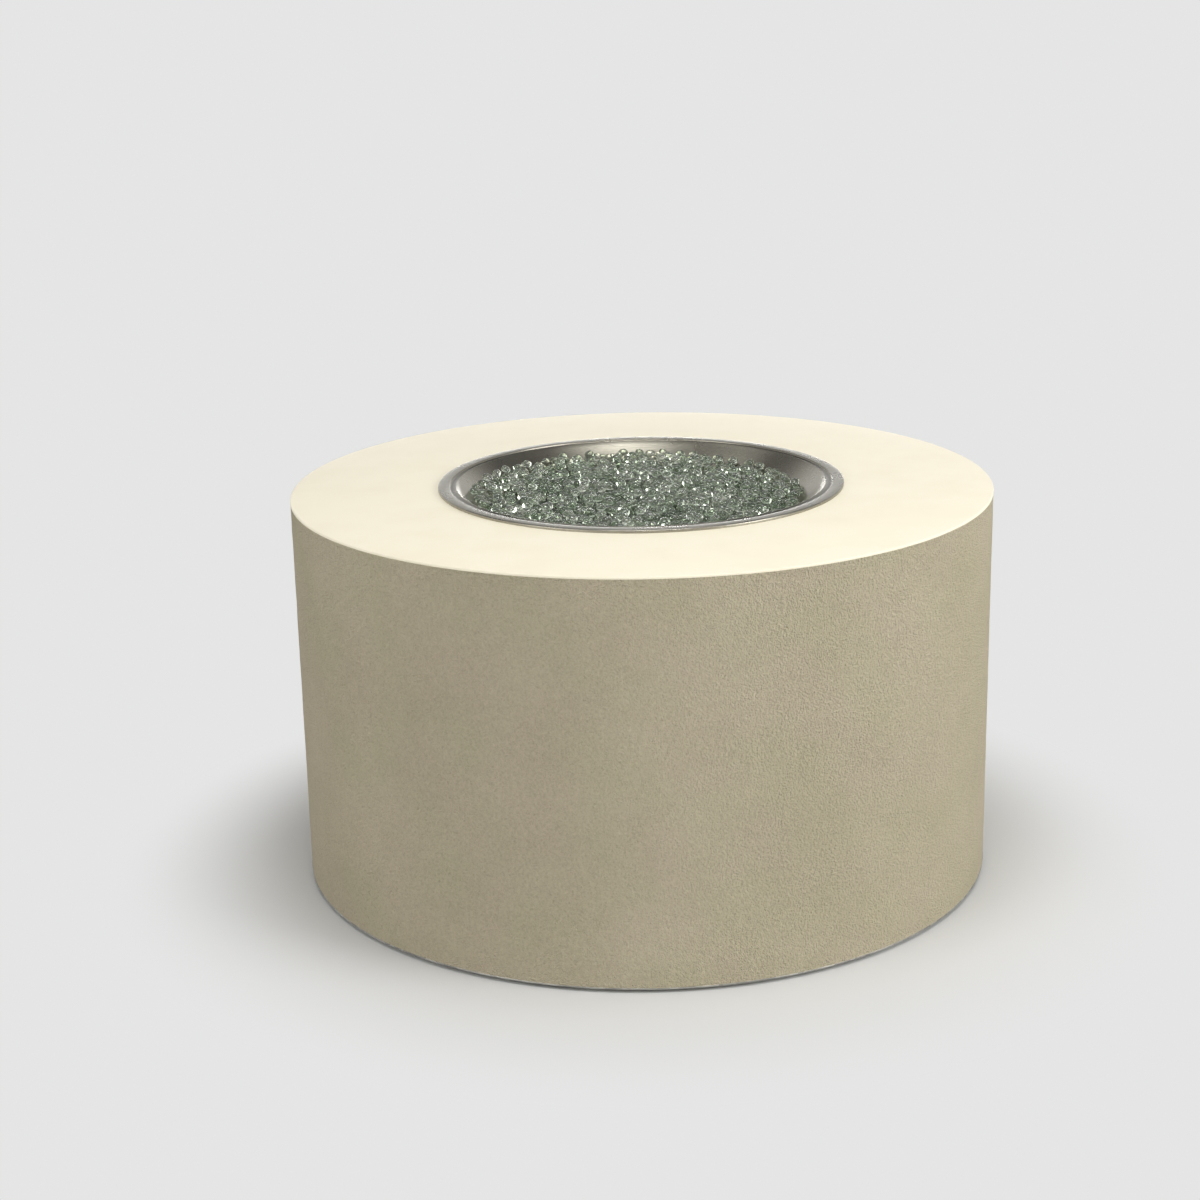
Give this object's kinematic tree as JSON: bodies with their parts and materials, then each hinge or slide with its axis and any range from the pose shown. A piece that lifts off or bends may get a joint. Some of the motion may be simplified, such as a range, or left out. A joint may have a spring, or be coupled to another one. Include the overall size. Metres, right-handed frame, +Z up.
{
  "type": "gas fire pit table",
  "caption": "Round drum fire pit table with stucco side, smooth top, drop-in burner pan full of fire glass, key valve and rear service door.",
  "frame": {"origin": "on the floor, on the centre line of the drum", "axes": "+Z up, -Y the pictured front, +Y the service door"},
  "size_m": [1.067, 1.067, 0.6015],
  "materials": {
    "stucco": "sandy stucco, matte",
    "top_coat": "smooth cream coat, matte",
    "cement_board": "grey board",
    "galvanised_steel": "galvanised",
    "edge_bead": "galvanised",
    "stainless_pan": "brushed",
    "stainless_burner": "satin",
    "rubber_feet": "matte",
    "foam_seal": "matte",
    "zinc_screws": "zinc plated",
    "black_pipe": "black",
    "cast_mixer": "cast",
    "brass": "machined",
    "chromed": "polished",
    "seat_plastic": "smooth",
    "lava_rock": "rough",
    "fire_glass": "clear grey-green",
    "door_paint": "powder coated",
    "brushed_pull": "brushed",
    "magnet_case": "moulded"
  },
  "bodies": {
    "enclosure": {"air_mixer": "cast_mixer", "base_edge_bead": "edge_bead", "base_panel": "galvanised_steel", "bottom_track": "galvanised_steel", "burner_nipple": "black_pipe", "burner_pan": "stainless_pan", "burner_ring": "stainless_burner", "catch_magnet": "magnet_case", "cylinder_locator_ring": "galvanised_steel", "door_frame": "door_paint", "door_seal": "foam_seal", "doorway_boards": "cement_board", "feed_pipe": "stainless_burner", "feed_pipe_nuts": "brass", "fire_glass_bed": "fire_glass", "foot_pads": "rubber_feet", "foot_screws": "zinc_screws", "frame_clips": "galvanised_steel", "headers": "galvanised_steel", "heat_shield": "galvanised_steel", "heat_shield_screws": "zinc_screws", "hinge_frame_leaves": "door_paint", "hinge_frame_screws": "zinc_screws", "hinge_pins": "zinc_screws", "inlet_fitting": "brass", "joists": "galvanised_steel", "key_escutcheon": "chromed", "lava_rock_fill": "lava_rock", "orifice_spud": "brass", "outlet_adapter": "brass", "pan_locknuts": "zinc_screws", "sleeve_locknut": "brass", "stem_bonnet": "brass", "stucco_coat": "stucco", "stud_screws": "zinc_screws", "top_board": "cement_board", "top_coat": "top_coat", "top_track": "galvanised_steel", "valve_body": "brass", "valve_seats": "seat_plastic", "vent_grille_left": "door_paint", "vent_grille_right": "door_paint", "vent_screws": "zinc_screws", "wall_board_1": "cement_board", "wall_board_2": "cement_board", "wall_board_3": "cement_board", "wall_board_4": "cement_board", "wall_studs": "galvanised_steel"},
    "door": {"door_pan": "door_paint", "door_stucco": "stucco", "hinge_door_leaves": "door_paint", "hinge_door_screws": "zinc_screws", "pull_plate": "brushed_pull", "pull_screws": "zinc_screws", "catch_strike": "brushed_pull"},
    "bail": {"pull_bail": "brushed_pull"},
    "spindle": {"valve_ball": "chromed", "valve_stem": "chromed"},
    "key": {"valve_key": "chromed"},
    "shutter": {"air_shutter": "cast_mixer"}
  },
  "joints": [
    {"name": "door_swing", "type": "hinge", "parent": "enclosure", "child": "door", "pos_m": [0.21213, 0.49496, 0.288], "axis": [0, 0, -1], "range_deg": [0, 110]},
    {"name": "bail_lift", "type": "hinge", "parent": "door", "child": "bail", "pos_m": [-0.13566, 0.52454, 0.322], "axis": [0.9681, 0.2504, 0], "range_deg": [0, 90]},
    {"name": "valve_turn", "type": "hinge", "parent": "enclosure", "child": "spindle", "pos_m": [0.37026, 0.25926, 0.288], "axis": [0.8192, 0.5736, 0], "range_deg": [0, 90]},
    {"name": "key_pull", "type": "slide", "parent": "spindle", "child": "key", "axis": [0.8192, 0.5736, 0], "range_m": [0, 0.055]},
    {"name": "shutter_turn", "type": "hinge", "parent": "enclosure", "child": "shutter", "pos_m": [0, 0, 0.4661], "axis": [0, 0, 1], "range_deg": [0, 45]}
  ]
}
